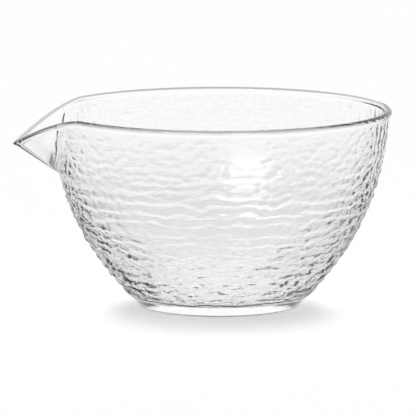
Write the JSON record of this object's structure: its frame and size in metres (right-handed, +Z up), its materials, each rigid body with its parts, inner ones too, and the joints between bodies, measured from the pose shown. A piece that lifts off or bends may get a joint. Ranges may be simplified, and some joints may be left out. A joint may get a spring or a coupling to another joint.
{
  "type": "glass pouring bowl",
  "caption": "Clear hammered glass bowl with a flat clear base, a smooth rounded rim and a V-shaped pouring spout, for mixing a drink or sauce and pouring it out.",
  "frame": {"origin": "middle of the base's underside, on the bowl's axis", "axes": "+Z up along the bowl's axis, -X towards the spout's tip, Y across the spout"},
  "size_m": [0.1318, 0.12, 0.069],
  "materials": {
    "clear_glass": "clear, fire-polished",
    "hammered_glass": "clear, hammered outside and smooth inside"
  },
  "bodies": {
    "root": {"base_disc": "clear_glass", "bowl_wall": "hammered_glass", "rim_bead": "clear_glass", "pouring_spout": "clear_glass"}
  },
  "joints": []
}
